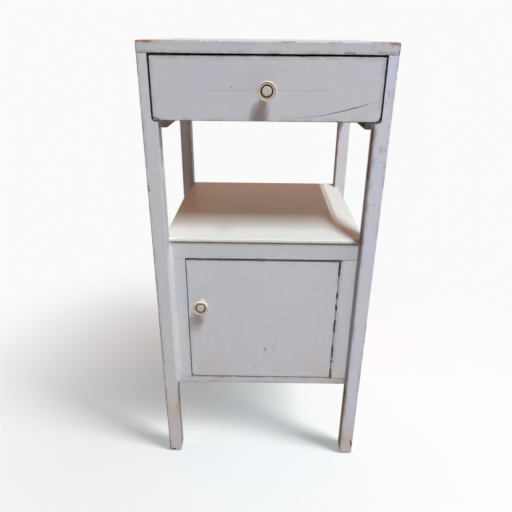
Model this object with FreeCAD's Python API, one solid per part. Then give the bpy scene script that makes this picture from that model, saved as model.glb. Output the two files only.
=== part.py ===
import FreeCAD, Part
import math
import os

from FreeCAD import Vector

# Bedside stand of painted wood: a drawer under the top, an open bay over a shelf, and a cupboard below.
# Millimetres. +Z is up and the front faces -Y. The origin is on the floor under the middle of the whole box.

# Whole stand
width = 380.0  # over the legs
depth = 380.0  # over the legs, front to back
height = 790.0
top_thickness = 17.0
top_edge_radius = 2.0

# Legs
leg_width = 24.0
leg_depth = 30.0
leg_chamfer = 1.2
stub_width = 8.0  # stub tenon from the leg into the top
stub_depth = 14.0
stub_height = 10.0
stub_inset = 4.0  # from the leg's outer face

# Aprons at drawer level
apron_thickness = 12.0
apron_setback = 5.0  # side aprons, behind the legs' outer faces
back_apron_setback = 2.0
tenon_length = 10.0
tenon_thickness = 5.0
tenon_shoulder = 25.0  # above and below each tenon

# Drawer front, whose ends lie in rebates of the front legs
drawer_front_height = 92.0
drawer_front_thickness = 18.0
drawer_corner_radius = 4.0
drawer_edge_chamfer = 0.8
drawer_top_gap = 3.0
drawer_end_gap = 2.7
drawer_bottom_gap = 2.0
drawer_stop_gap = 0.3  # behind the ends when the drawer is shut
rebate_width = 9.0
rebate_corner_radius = 6.0

# Drawer box
drawer_rear_gap = 21.0  # from the drawer sides to the back apron
drawer_side_thickness = 10.0
drawer_side_play = 1.2  # beside the legs and guides
drawer_side_step = 3.0  # lower edge of the sides above that of the front
drawer_side_drop = 3.0  # upper edge of the sides below that of the front
drawer_side_housing = 8.0  # sides let into the front
drawer_back_thickness = 9.0
drawer_back_housing = 4.0
drawer_back_inset = 12.0  # from the sides' rear ends
drawer_bottom_thickness = 4.0
drawer_bottom_lift = 6.0  # above the sides' lower edges
drawer_bottom_tongue = 4.0
running_gap = 0.2

# Runners under the drawer sides, and the guides on them
runner_width = 35.0
runner_height = 18.3
runner_flat = 16.0  # flat part of the underside
runner_lip = 3.5  # upright inner edge over the chamfer
runner_corner_radius = 5.0
guide_height = 16.0

# Shelf
shelf_thickness = 7.0
shelf_overhang = 3.5  # in front of the face frame
shelf_nose_radius = 2.6

# Cupboard
cupboard_bottom_height = 160.0
cupboard_side_thickness = 8.0
cupboard_side_tongue = 6.0
cupboard_floor_thickness = 8.0
cupboard_floor_drop = 2.0  # below the top of the bottom rail
cupboard_floor_tongue = 4.0
cupboard_back_thickness = 5.0
cupboard_back_inset = 13.0
cupboard_back_tongue = 5.0

# Face frame and door
frame_recess = 28.0  # behind the legs' front faces
frame_thickness = 18.0
top_rail_height = 33.0
bottom_rail_height = 14.0
left_stile_width = 25.5
right_stile_width = 25.0
stile_tenon_length = 8.0
stile_tenon_shoulder = 6.0
door_opening_height = 260.0
door_thickness = 17.0
door_edge_chamfer = 0.8
door_corner_radius = 3.0  # lower free corner
door_top_gap = 3.0
door_bottom_gap = 1.8
door_left_gap = 1.2

# Continuous hinge in the gap between the door and the right stile
hinge_gap = 5.0
hinge_axis_lead = 0.5  # axis in front of the door's face
hinge_end_gap = 1.2
knuckle_count = 7
knuckle_radius = 2.2
knuckle_end_play = 0.4
knuckle_clearance = 0.4
leaf_width = 14.0
leaf_thickness = 1.0
pin_radius = 1.0
pin_clearance = 0.05

# Turned knobs
knob_reach = 24.0
knob_radius = 15.2
knob_neck_radius = 8.8
knob_neck_reach = 7.0
knob_belly_start = 16.0  # widest from here
knob_belly_end = 21.0
knob_rim_radius = 13.8
knob_dish_radius = 12.4
knob_dish_depth = 1.2
knob_recess_radius = 9.8
knob_recess_depth = 2.6
knob_disc_thickness = 1.2
knob_button_radius = 7.2
knob_button_thickness = 2.0
door_knob_inset = 25.7  # from the door's free edge
door_knob_height = 168.5  # above the door's lower edge

# Bullet catch in the door's free edge
plunger_radius = 2.6
plunger_collar_radius = 3.6
plunger_collar_length = 3.0
plunger_reach = 1.0  # into the strike plate's hole
plunger_nose_length = 1.4
plunger_nose_radius = 1.4
plunger_clearance = 0.05
catch_lip_thickness = 1.0
catch_wall = 1.2
catch_length = 18.0
spring_wire_radius = 0.35
spring_wire_sides = 5
spring_radius = 2.6
spring_turns = 3
spring_sections = 10  # to a turn
strike_height = 36.0
strike_width = 13.0
strike_thickness = 0.8
strike_hole_radius = 3.4
strike_hole_depth = 3.0

# Places worked out from the sizes above; depths count back from the legs' front faces.
outer = width / 2
inner = outer - leg_width
front = (knob_reach - depth) / 2
rear_legs = depth - leg_depth
under_top = height - top_thickness
drawer_front_top = under_top - drawer_top_gap
drawer_front_bottom = drawer_front_top - drawer_front_height
drawer_side_outer = inner - drawer_side_play
drawer_side_inner = drawer_side_outer - drawer_side_thickness
drawer_side_bottom = drawer_front_bottom + drawer_side_step
drawer_side_top = drawer_front_top - drawer_side_drop
drawer_bottom_under = drawer_side_bottom + drawer_bottom_lift
runner_top = drawer_side_bottom - running_gap
runner_bottom = runner_top - runner_height
apron_outer = outer - apron_setback
apron_inner = apron_outer - apron_thickness
back_apron_rear = depth - back_apron_setback
back_apron_front = back_apron_rear - apron_thickness
drawer_rear = back_apron_front - drawer_rear_gap
drawer_back_rear = drawer_rear - drawer_back_inset
opening_bottom = cupboard_bottom_height + bottom_rail_height
opening_top = opening_bottom + door_opening_height
shelf_under = opening_top + top_rail_height
cupboard_side_outer = inner + cupboard_side_thickness
cupboard_back_front = depth - cupboard_back_inset - cupboard_back_thickness
frame_rear = frame_recess + frame_thickness
frame_middle = frame_recess + frame_thickness / 2
left_stile_edge = left_stile_width - inner
right_stile_edge = inner - right_stile_width
door_left = left_stile_edge + door_left_gap
door_right = right_stile_edge - hinge_gap
door_bottom = opening_bottom + door_bottom_gap
door_top = opening_top - door_top_gap
door_middle = frame_recess + door_thickness / 2
hinge_x = right_stile_edge - hinge_gap / 2
hinge_depth = frame_recess - hinge_axis_lead
hinge_bottom = opening_bottom + hinge_end_gap
hinge_top = opening_top - hinge_end_gap
knuckle_pitch = (hinge_top - hinge_bottom) / knuckle_count
catch_z = (door_bottom + door_top) / 2
collar_x = door_left + catch_lip_thickness + plunger_clearance
bore_end_x = door_left + catch_length - catch_wall

left = Vector(-1, 0, 0)
right = Vector(1, 0, 0)
forward = Vector(0, -1, 0)
up = Vector(0, 0, 1)


def at(x, d, z):
    """A point of the stand; d counts back from the legs' front faces."""
    return Vector(x, front + d, z)


def board(x0, x1, d0, d1, z0, z1):
    """A square-edged board between two corners."""
    return Part.makeBox(x1 - x0, d1 - d0, z1 - z0, at(x0, d0, z0))


def mirrored(shape):
    """The same piece on the other side of the stand."""
    return shape.mirror(Vector(0, 0, 0), right)


def eased(shape, radius, chosen):
    """The shape with rounded edges where chosen, which is given each edge's box, says so."""
    return shape.makeFillet(radius, [edge for edge in shape.Edges if chosen(edge.BoundBox)])


def front_chamfered(shape, size):
    """The shape with a chamfer all round its foremost face."""
    foremost = shape.BoundBox.YMin + 0.01
    return shape.makeChamfer(size, [edge for edge in shape.Edges if edge.BoundBox.YMax < foremost])


def fitted(shape, *pieces):
    """The shape with the holes, mortises and grooves that other pieces need in it."""
    for piece in pieces:
        shape = shape.cut(piece)
    return shape


def top_board():
    """The top board with rounded upper edges."""
    middle = (under_top + height) / 2
    slab = board(-outer, outer, 0, depth, under_top, height)
    return eased(slab, top_edge_radius, lambda box: box.ZMin > middle)


def side_apron():
    """Right apron with a tenon at each end."""
    middle = (apron_inner + apron_outer) / 2
    half = tenon_thickness / 2
    plank = board(apron_inner, apron_outer, leg_depth, rear_legs, runner_bottom, under_top)
    tenons = board(
        middle - half, middle + half, leg_depth - tenon_length, rear_legs + tenon_length,
        runner_bottom + tenon_shoulder, under_top - tenon_shoulder,
    )
    return plank.fuse(tenons).removeSplitter()


def back_apron():
    """Rear apron between the rear legs, with a tenon at each end."""
    middle = (back_apron_front + back_apron_rear) / 2
    half = tenon_thickness / 2
    reach = inner + tenon_length
    plank = board(-inner, inner, back_apron_front, back_apron_rear, runner_bottom, under_top)
    tenons = board(
        -reach, reach, middle - half, middle + half,
        runner_bottom + tenon_shoulder, under_top - tenon_shoulder,
    )
    return plank.fuse(tenons).removeSplitter()


def runner_and_guide():
    """Right runner, chamfered below towards the bay, and the guide strip glued on it."""
    edge = apron_inner - runner_width
    section = Part.makePolygon([
        at(apron_inner, leg_depth, runner_top),
        at(edge, leg_depth, runner_top),
        at(edge, leg_depth, runner_top - runner_lip),
        at(apron_inner - runner_flat, leg_depth, runner_bottom),
        at(apron_inner, leg_depth, runner_bottom),
        at(apron_inner, leg_depth, runner_top),
    ])
    runner = Part.Face(section).extrude(Vector(0, rear_legs - leg_depth, 0))
    bend = apron_inner - runner_flat
    low_edges = runner_bottom + runner_lip / 2
    runner = eased(
        runner, runner_corner_radius,
        lambda box: box.ZMax < low_edges and abs(box.XMax - bend) < 0.01 and box.XLength < 0.01,
    )
    guide = board(inner, apron_inner, leg_depth, rear_legs, runner_top, runner_top + guide_height)
    return runner, guide


def leg_post(d0):
    """A plain right-hand leg with chamfered edges and a stub tenon on top."""
    post = board(inner, outer, d0, d0 + leg_depth, 0, under_top)
    post = post.makeChamfer(leg_chamfer, [edge for edge in post.Edges if edge.BoundBox.ZMin < 1])
    stub_outer = outer - stub_inset
    stub_start = d0 + (leg_depth - stub_depth) / 2
    stub = board(
        stub_outer - stub_width, stub_outer, stub_start, stub_start + stub_depth,
        under_top, under_top + stub_height,
    )
    return post.fuse(stub)


def drawer_rebate():
    """What the right front leg loses to the drawer front's end, with a rounded lower corner."""
    shoulder = drawer_front_bottom - drawer_bottom_gap
    seat = drawer_front_thickness + drawer_stop_gap
    notch = board(inner - leg_width, inner + rebate_width, -leg_depth, seat, shoulder, under_top)
    return eased(
        notch, rebate_corner_radius,
        lambda box: box.ZMax < shoulder + 0.01 and box.XMin > inner,
    )


def cupboard_side():
    """Right side panel, tongued into both legs."""
    plank = board(inner, cupboard_side_outer, leg_depth, rear_legs, cupboard_bottom_height, shelf_under)
    cheek = cupboard_side_thickness / 4
    tongues = board(
        inner + cheek, cupboard_side_outer - cheek,
        leg_depth - cupboard_side_tongue, rear_legs + cupboard_side_tongue,
        cupboard_bottom_height, shelf_under,
    )
    return plank.fuse(tongues).removeSplitter()


def cupboard_floor():
    """Floor board behind the bottom rail, tongued into the side panels."""
    upper = opening_bottom - cupboard_floor_drop
    lower = upper - cupboard_floor_thickness
    plank = board(-inner, inner, frame_rear, cupboard_back_front, lower, upper)
    reach = inner + cupboard_floor_tongue
    tongues = board(-reach, reach, frame_rear, rear_legs, lower, upper)
    return plank.fuse(tongues).removeSplitter()


def cupboard_back():
    """Thin back panel in grooves of the rear legs."""
    reach = inner + cupboard_back_tongue
    rear = cupboard_back_front + cupboard_back_thickness
    return board(-reach, reach, cupboard_back_front, rear, cupboard_bottom_height, shelf_under)


def shelf_board():
    """Shelf with a rounded nose, notched round the legs."""
    nose = frame_recess - shelf_overhang
    upper = shelf_under + shelf_thickness
    middle_part = board(-cupboard_side_outer, cupboard_side_outer, leg_depth, rear_legs, shelf_under, upper)
    shelf = middle_part.fuse(board(-inner, inner, nose, depth, shelf_under, upper)).removeSplitter()
    return eased(shelf, shelf_nose_radius, lambda box: box.YMax < front + nose + 0.01 and box.ZLength < 0.01)


def stile(x0, x1):
    """A stile of the face frame with a tenon at each end."""
    sixth = frame_thickness / 6
    post = board(x0, x1, frame_recess, frame_rear, opening_bottom, opening_top)
    tenons = board(
        x0 + stile_tenon_shoulder, x1 - stile_tenon_shoulder, frame_middle - sixth, frame_middle + sixth,
        opening_bottom - stile_tenon_length, opening_top + stile_tenon_length,
    )
    return post.fuse(tenons).removeSplitter()


def hinge_leaf(face, inward, first_knuckle):
    """One leaf of the continuous hinge: a plate and every second knuckle, in one bent strip.

    The plate lies against the face and is cut back in front of the other leaf's knuckles.
    """
    low, high = sorted((face, face + inward * leaf_thickness))
    plate_front = hinge_depth + knuckle_radius + knuckle_clearance
    plate = board(low, high, plate_front, hinge_depth + leaf_width, hinge_bottom, hinge_top)
    knuckles = []
    for index in range(first_knuckle, knuckle_count, 2):
        z0 = hinge_bottom + knuckle_pitch * index + knuckle_end_play / 2
        z1 = z0 + knuckle_pitch - knuckle_end_play
        knuckles.append(board(low, high, hinge_depth, plate_front, z0, z1))
        knuckles.append(Part.makeCylinder(knuckle_radius, z1 - z0, at(hinge_x, hinge_depth, z0), up))
    bore_start = at(hinge_x, hinge_depth, hinge_bottom)
    bore = Part.makeCylinder(pin_radius + pin_clearance, hinge_top - hinge_bottom, bore_start, up)
    return plate.multiFuse(knuckles).cut(bore).removeSplitter()


def hinge_pin():
    """The pin through all knuckles."""
    return Part.makeCylinder(pin_radius, hinge_top - hinge_bottom, at(hinge_x, hinge_depth, hinge_bottom), up)


def quarter(start, end, radial_first, steps):
    """Points of a quarter ellipse between two points given as radius and reach, without the start."""
    points = []
    for index in range(1, steps + 1):
        angle = math.pi / 2 * index / steps
        early, late = math.sin(angle), 1 - math.cos(angle)
        across, along = (early, late) if radial_first else (late, early)
        points.append((start[0] + (end[0] - start[0]) * across, start[1] + (end[1] - start[1]) * along))
    return points


def turned(points, centre):
    """A solid turned from an outline given as radius and reach, which counts forward from the centre."""
    outline = Part.makePolygon([Vector(radius, -reach, 0) for radius, reach in points + points[:1]])
    solid = Part.Face(outline).revolve(Vector(0, 0, 0), Vector(0, 1, 0), 360)
    solid.translate(centre)
    return solid


def knob(name, x, face_depth, z):
    """A turned knob, with a pale button on a dark disc let into its face."""
    dish = knob_reach - knob_dish_depth
    recess_floor = dish - knob_recess_depth
    neck = (knob_neck_radius, knob_neck_reach)
    belly = (knob_radius, knob_belly_start)
    shoulder = (knob_radius, knob_belly_end)
    rim = (knob_rim_radius, knob_reach)
    outline = [(0, 0), (knob_neck_radius, 0), neck] + quarter(neck, belly, True, 2)
    outline += [shoulder, rim, (knob_dish_radius, knob_reach), (knob_dish_radius, dish)]
    outline += [(knob_recess_radius, dish), (knob_recess_radius, recess_floor), (0, recess_floor)]
    body = turned(outline, at(x, face_depth, z))
    disc_seat = at(x, face_depth - recess_floor, z)
    disc = Part.makeCylinder(knob_recess_radius, knob_disc_thickness, disc_seat, forward)
    button_seat = disc_seat + forward * knob_disc_thickness
    button = Part.makeCylinder(knob_button_radius, knob_button_thickness, button_seat, forward)
    return {f"{name}_knob": body, f"{name}_knob_disc": disc, f"{name}_knob_button": button}


def coil_spring():
    """The catch's spring from the plunger to the end of its bore, lofted through sections on its helix."""
    start_x = collar_x + plunger_collar_length + spring_wire_radius
    length = bore_end_x - spring_wire_radius - start_x
    axis = at(start_x, door_middle, catch_z)
    sections = []
    for index in range(spring_turns * spring_sections + 1):
        turn = index / spring_sections
        outward = Vector(0, math.cos(2 * math.pi * turn), math.sin(2 * math.pi * turn))
        centre = axis + right * (length * turn / spring_turns) + outward * spring_radius
        corners = []
        for side in range(spring_wire_sides + 1):
            angle = 2 * math.pi * side / spring_wire_sides
            offset = outward * math.cos(angle) + right * math.sin(angle)
            corners.append(centre + offset * spring_wire_radius)
        sections.append(Part.makePolygon(corners))
    print("least gap between the spring's turns, mm:", length / spring_turns - 2 * spring_wire_radius)
    return Part.makeLoft(sections, True, True)


def bullet_catch():
    """Barrel let into the door's free edge, its outline for the pocket, and the collared plunger inside."""
    mouth = at(door_left, door_middle, catch_z)
    bore_radius = plunger_collar_radius + plunger_clearance
    bore_start = mouth + right * catch_lip_thickness
    pocket = Part.makeCylinder(bore_radius + catch_wall, catch_length, mouth, right)
    hole = Part.makeCylinder(plunger_radius + plunger_clearance, catch_lip_thickness, mouth, right)
    bore = Part.makeCylinder(bore_radius, bore_end_x - bore_start.x, bore_start, right)
    tip = at(left_stile_edge - plunger_reach, door_middle, catch_z)
    shank_start = tip + right * plunger_nose_length
    collar_start = at(collar_x, door_middle, catch_z)
    nose = Part.makeCone(plunger_nose_radius, plunger_radius, plunger_nose_length, tip, right)
    shank = Part.makeCylinder(plunger_radius, collar_x - shank_start.x, shank_start, right)
    collar = Part.makeCylinder(plunger_collar_radius, plunger_collar_length, collar_start, right)
    plunger = nose.multiFuse([shank, collar]).removeSplitter()
    return pocket, fitted(pocket, hole, bore), plunger


def strike_plate():
    """Plate let into the left stile, and the hole in it and behind it for the plunger."""
    low = catch_z - strike_height / 2
    rear = door_middle + strike_width / 2
    edge = left_stile_edge
    plate = board(edge - strike_thickness, edge, rear - strike_width, rear, low, low + strike_height)
    hole = Part.makeCylinder(strike_hole_radius, strike_hole_depth, at(edge, door_middle, catch_z), left)
    return plate, hole


def drawer():
    """The drawer: front, two sides housed in it, back, bottom panel in grooves, and knob."""
    half = inner + rebate_width - drawer_end_gap
    face = board(-half, half, 0, drawer_front_thickness, drawer_front_bottom, drawer_front_top)
    face = eased(
        face, drawer_corner_radius,
        lambda box: box.ZMax < drawer_front_top - 1 and box.XLength < 1 and box.ZLength < 1,
    )
    face = front_chamfered(face, drawer_edge_chamfer)
    side_start = drawer_front_thickness - drawer_side_housing
    side = board(
        drawer_side_inner, drawer_side_outer, side_start, drawer_rear, drawer_side_bottom, drawer_side_top,
    )
    panel_reach = drawer_side_inner + drawer_bottom_tongue
    panel_top = drawer_bottom_under + drawer_bottom_thickness
    panel_start = drawer_front_thickness - drawer_bottom_tongue
    panel = board(-panel_reach, panel_reach, panel_start, drawer_back_rear, drawer_bottom_under, panel_top)
    back_reach = drawer_side_inner + drawer_back_housing
    back_start = drawer_back_rear - drawer_back_thickness
    back = board(-back_reach, back_reach, back_start, drawer_back_rear, panel_top, drawer_side_top)
    knob_height = (drawer_front_bottom + drawer_front_top) / 2
    pieces = knob("drawer", 0, 0, knob_height)
    side = fitted(side, panel, back)
    pieces["drawer_front"] = fitted(face, side, mirrored(side), panel)
    pieces["drawer_side_right"] = side
    pieces["drawer_side_left"] = mirrored(side)
    pieces["drawer_back"] = back
    pieces["drawer_bottom"] = panel
    return pieces


def door():
    """The door with its knob, the door's leaf of the hinge, and the catch."""
    panel = board(door_left, door_right, frame_recess, frame_recess + door_thickness, door_bottom, door_top)
    panel = eased(
        panel, door_corner_radius,
        lambda box: box.XMax < door_left + 0.01 and box.ZMax < door_bottom + 0.01,
    )
    panel = front_chamfered(panel, door_edge_chamfer)
    pieces = knob("door", door_left + door_knob_inset, frame_recess, door_bottom + door_knob_height)
    pocket, barrel, plunger = bullet_catch()
    pieces["door_panel"] = fitted(panel, pocket)
    pieces["hinge_leaf_door"] = hinge_leaf(door_right, 1, 1)
    pieces["catch_barrel"] = barrel
    pieces["catch_spring"] = coil_spring()
    pieces["catch_plunger"] = plunger
    return pieces


def face_frame():
    """Rails and stiles, the frame's leaf of the hinge with its pin, and the strike plate."""
    plate, hole = strike_plate()
    left_stile = stile(-inner, left_stile_edge)
    right_stile = stile(right_stile_edge, inner)
    top_rail = board(-inner, inner, frame_recess, frame_rear, opening_top, shelf_under)
    bottom_rail = board(-inner, inner, frame_recess, frame_rear, cupboard_bottom_height, opening_bottom)
    return {
        "frame_top_rail": fitted(top_rail, left_stile, right_stile),
        "frame_bottom_rail": fitted(bottom_rail, left_stile, right_stile),
        "frame_stile_left": fitted(left_stile, plate, hole),
        "frame_stile_right": right_stile,
        "hinge_leaf_frame": hinge_leaf(right_stile_edge, -1, 0),
        "hinge_pin": hinge_pin(),
        "catch_strike": fitted(plate, hole),
    }


def carcass():
    """Top, legs, aprons, runners, shelf and cupboard box, with the face frame."""
    pieces = face_frame()
    apron = side_apron()
    rear_apron = back_apron()
    runner, guide = runner_and_guide()
    side = cupboard_side()
    floor = cupboard_floor()
    back = cupboard_back()
    front_leg = fitted(leg_post(0), drawer_rebate(), apron, side)
    rear_leg = fitted(leg_post(rear_legs), apron, rear_apron, side, back)
    paired = {
        "leg_front": front_leg,
        "leg_rear": rear_leg,
        "side_apron": apron,
        "drawer_runner": runner,
        "drawer_guide": guide,
        "cupboard_side": fitted(side, floor),
    }
    for name, piece in paired.items():
        pieces[f"{name}_right"] = piece
        pieces[f"{name}_left"] = mirrored(piece)
    legs = [pieces[f"leg_{place}"] for place in ("front_left", "front_right", "rear_left", "rear_right")]
    pieces["top_board"] = fitted(top_board(), *legs)
    pieces["back_apron"] = rear_apron
    pieces["shelf_board"] = shelf_board()
    pieces["cupboard_floor"] = floor
    pieces["cupboard_back"] = back
    return pieces


os.makedirs("parts", exist_ok=True)
for node, shape in {**carcass(), **drawer(), **door()}.items():
    shape.exportStep(f"parts/{node}.step")
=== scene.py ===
from math import cos, pi, radians, sin, sqrt

import bmesh
import bpy
from mathutils import Matrix, Vector, noise


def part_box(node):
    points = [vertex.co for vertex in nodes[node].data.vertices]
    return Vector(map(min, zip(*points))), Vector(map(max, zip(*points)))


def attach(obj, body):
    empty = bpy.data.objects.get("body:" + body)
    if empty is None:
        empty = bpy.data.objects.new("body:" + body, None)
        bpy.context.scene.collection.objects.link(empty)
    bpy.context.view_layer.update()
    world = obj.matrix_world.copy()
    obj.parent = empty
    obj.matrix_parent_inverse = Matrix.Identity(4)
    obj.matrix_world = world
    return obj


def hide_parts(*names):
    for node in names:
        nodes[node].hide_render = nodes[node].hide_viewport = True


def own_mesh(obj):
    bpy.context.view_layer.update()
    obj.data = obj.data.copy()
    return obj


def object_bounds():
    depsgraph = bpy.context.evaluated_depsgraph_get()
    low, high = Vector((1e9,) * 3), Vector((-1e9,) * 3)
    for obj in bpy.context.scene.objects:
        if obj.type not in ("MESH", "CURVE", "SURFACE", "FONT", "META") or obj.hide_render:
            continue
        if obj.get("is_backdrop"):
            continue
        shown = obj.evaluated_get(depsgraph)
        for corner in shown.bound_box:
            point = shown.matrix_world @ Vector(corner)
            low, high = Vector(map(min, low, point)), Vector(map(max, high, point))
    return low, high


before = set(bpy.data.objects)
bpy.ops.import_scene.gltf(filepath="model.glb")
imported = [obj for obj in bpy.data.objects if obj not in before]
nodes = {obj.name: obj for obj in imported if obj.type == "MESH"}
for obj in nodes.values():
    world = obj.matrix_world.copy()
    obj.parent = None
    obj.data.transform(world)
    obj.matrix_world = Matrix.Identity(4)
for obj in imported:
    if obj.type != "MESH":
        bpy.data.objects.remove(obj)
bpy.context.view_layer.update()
bpy.context.scene.view_settings.view_transform = "Standard"


# Four square legs of softwood, planed, with softened corners and worn feet, stub-tenoned up into the
# top board. They were painted with the stand standing on the floor: brushed oil paint, now yellowed
# towards the feet and knocked off the corners.

def linear(code):
    """An sRGB hex colour as linear red, green, blue and alpha."""
    parts = [int(code[i:i + 2], 16) / 255 for i in (1, 3, 5)]
    return tuple(v / 12.92 if v <= 0.04045 else ((v + 0.055) / 1.055) ** 2.4 for v in parts) + (1.0,)


def add(tree, kind, *inputs, **settings):
    """One node: its settings, then values or earlier nodes for its open inputs, in order."""
    node = tree.nodes.new(kind)
    for name, value in settings.items():
        setattr(node, name, value)
    open_inputs = [socket for socket in node.inputs if socket.enabled]
    for socket, value in zip(open_inputs, inputs):
        if isinstance(value, bpy.types.Node):
            value = next(output for output in value.outputs if output.enabled)
        if isinstance(value, bpy.types.NodeSocket):
            tree.links.new(value, socket)
        elif value is not None:
            socket.default_value = value
    return node


def sockets(tree, in_out, kinds):
    """The named inputs or outputs of a node group, in order, each with its kind."""
    for name, kind in kinds.items():
        tree.interface.new_socket(name, in_out=in_out, socket_type="NodeSocket" + kind)


# Oil paint brushed over old coats: a faint ribbed gloss, cool and warm patches where it aged,
# grime towards the corners, flakes gone to the bare ground along the edges. Its chip and crack
# masks also carry painted shade.
paint = bpy.data.node_groups.new("brushed_oil_paint", "ShaderNodeTree")
sockets(paint, "INPUT", {
    "Low corner": "Vector",
    "High corner": "Vector",
    "Brush lines": "Vector",
    "Wear": "Float",
    "Grime": "Float",
    "Chips and shade": "Float",
    "Cracks and shade": "Float",
    "Cool coat": "Color",
    "Warm coat": "Color",
    "Pale ground": "Color",
    "Dark ground": "Color",
})
sockets(paint, "OUTPUT", {"Colour": "Color", "Roughness": "Float", "Height": "Float"})

given = add(paint, "NodeGroupInput").outputs
place = add(paint, "ShaderNodeTexCoord").outputs["Object"]

# Distance in metres from the nearest edge of the board: the middle one of the three distances
# to its pairs of faces.
from_low = add(paint, "ShaderNodeVectorMath", place, given["Low corner"], operation="SUBTRACT")
from_high = add(paint, "ShaderNodeVectorMath", given["High corner"], place, operation="SUBTRACT")
inset = add(paint, "ShaderNodeVectorMath", from_low, from_high, operation="MINIMUM")
across, deep, tall = add(paint, "ShaderNodeSeparateXYZ", inset).outputs
lesser = add(paint, "ShaderNodeMath", across, deep, operation="MINIMUM")
greater = add(paint, "ShaderNodeMath", across, deep, operation="MAXIMUM")
capped = add(paint, "ShaderNodeMath", greater, tall, operation="MINIMUM")
edge = add(paint, "ShaderNodeMath", lesser, capped, operation="MAXIMUM")

# Knocked stretches about 90 mm long, broken into flakes of about 4 mm.
stretches = add(paint, "ShaderNodeTexNoise", place, 1 / 0.09, 2.0)
flakes = add(paint, "ShaderNodeTexNoise", place, 1 / 0.0045, 4.0, 0.65)
knocked = add(paint, "ShaderNodeMapRange", stretches, 0.47, 0.68, 0.0, 1.0)
crumbled = add(paint, "ShaderNodeMapRange", flakes, 0.40, 0.70, 0.0, 1.0)
chipping = add(paint, "ShaderNodeMath", knocked, crumbled, operation="MULTIPLY")
chipped_to = add(paint, "ShaderNodeMath", chipping, given["Wear"], operation="MULTIPLY")
rubbed_to = add(paint, "ShaderNodeMath", crumbled, 0.0007, 0.0001, operation="MULTIPLY_ADD")
reach = add(paint, "ShaderNodeMath", chipped_to, rubbed_to, operation="ADD")
beyond = add(paint, "ShaderNodeMath", reach, edge, operation="SUBTRACT")
worn = add(paint, "ShaderNodeMapRange", beyond, -0.0001, 0.0004, 0.0, 1.0)
bare = add(paint, "ShaderNodeMath", worn, given["Chips and shade"], operation="MAXIMUM")

# Cool and warm patches about 80 mm wide, and a film that varies over about 10 mm.
patches = add(paint, "ShaderNodeTexNoise", place, 1 / 0.08, 3.0)
film = add(paint, "ShaderNodeTexNoise", place, 1 / 0.010, 4.0, 0.6)
warmth = add(paint, "ShaderNodeMapRange", patches, 0.36, 0.64, 0.0, 1.0)
coat = add(paint, "ShaderNodeMix", warmth, given["Cool coat"], given["Warm coat"], data_type="RGBA")
shade = add(paint, "ShaderNodeMapRange", film, 0.3, 0.7, 0.0, 0.09)
coat = add(paint, "ShaderNodeMix", shade, coat, linear("#a9a6a3"), data_type="RGBA")

# Brush lines run the length of the board.
brushed = add(paint, "ShaderNodeVectorMath", place, given["Brush lines"], operation="MULTIPLY")
lines = add(paint, "ShaderNodeTexNoise", brushed, 1.0, 3.0, 0.6)
streaks = add(paint, "ShaderNodeMapRange", lines, 0.45, 0.75, 0.0, 0.07)
coat = add(paint, "ShaderNodeMix", streaks, coat, linear("#b0a9a2"), data_type="RGBA")

# Yellowing towards the feet, from about a quarter of a metre down.
height = add(paint, "ShaderNodeSeparateXYZ", place).outputs["Z"]
low_down = add(paint, "ShaderNodeMapRange", height, 0.02, 0.26, 0.80, 0.0)
yellowed = add(paint, "ShaderNodeMath", low_down, warmth, operation="MULTIPLY")
coat = add(paint, "ShaderNodeMix", yellowed, coat, linear("#c7b59d"), data_type="RGBA")

# Grime within a few millimetres of the edges, in smudges of about 25 mm.
smudges = add(paint, "ShaderNodeTexNoise", place, 1 / 0.025, 3.0)
held = add(paint, "ShaderNodeMapRange", edge, 0.0, 0.007, given["Grime"], 0.0)
smudged = add(paint, "ShaderNodeMapRange", smudges, 0.42, 0.70, 0.0, 1.0)
grime = add(paint, "ShaderNodeMath", held, smudged, operation="MULTIPLY")
coat = add(paint, "ShaderNodeMix", grime, coat, linear("#8c7f73"), data_type="RGBA")

# Pin specks of about half a millimetre, one to every few square centimetres.
cells = add(paint, "ShaderNodeTexVoronoi", place, 1 / 0.018)
specks = add(paint, "ShaderNodeMapRange", cells.outputs["Distance"], 0.020, 0.042, 1.0, 0.0)
chance = add(paint, "ShaderNodeSeparateXYZ", cells.outputs["Color"]).outputs["X"]
kept = add(paint, "ShaderNodeMath", chance, 0.78, operation="GREATER_THAN")
speckled = add(paint, "ShaderNodeMath", specks, kept, operation="MULTIPLY")
speckled = add(paint, "ShaderNodeMath", speckled, 0.6, operation="MULTIPLY")
coat = add(paint, "ShaderNodeMix", speckled, coat, linear("#6f655c"), data_type="RGBA")

# The bare ground at chips, and dark dirt in the cracks; the same colours paint shade where those
# masks are laid on shaded faces and in gaps.
ground = add(paint, "ShaderNodeMix", crumbled, given["Pale ground"], given["Dark ground"], data_type="RGBA")
coat = add(paint, "ShaderNodeMix", bare, coat, ground, data_type="RGBA")
coat = add(paint, "ShaderNodeMix", given["Cracks and shade"], coat, linear("#1d1614"), data_type="RGBA")

gloss = add(paint, "ShaderNodeMapRange", film, 0.3, 0.7, 0.36, 0.54)
gloss = add(paint, "ShaderNodeMix", bare, gloss, 0.82)

# Heights in metres: brush ribs, an uneven film, and the thickness of the coats at a chip.
ribs = add(paint, "ShaderNodeMath", lines, 0.00006, operation="MULTIPLY")
ribs = add(paint, "ShaderNodeMath", film, 0.00012, ribs, operation="MULTIPLY_ADD")
ribs = add(paint, "ShaderNodeMath", bare, -0.0003, ribs, operation="MULTIPLY_ADD")
ribs = add(paint, "ShaderNodeMath", given["Cracks and shade"], -0.0003, ribs, operation="MULTIPLY_ADD")
add(paint, "NodeGroupOutput", coat, gloss, ribs)

# Brush ribs to the metre, across the brush and along it: about 3 mm wide and 200 mm long.
rib, pull = 320.0, 5.0
along_x = (pull, rib, rib)
along_y = (rib, pull, rib)
along_z = (rib, rib, pull)


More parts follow.
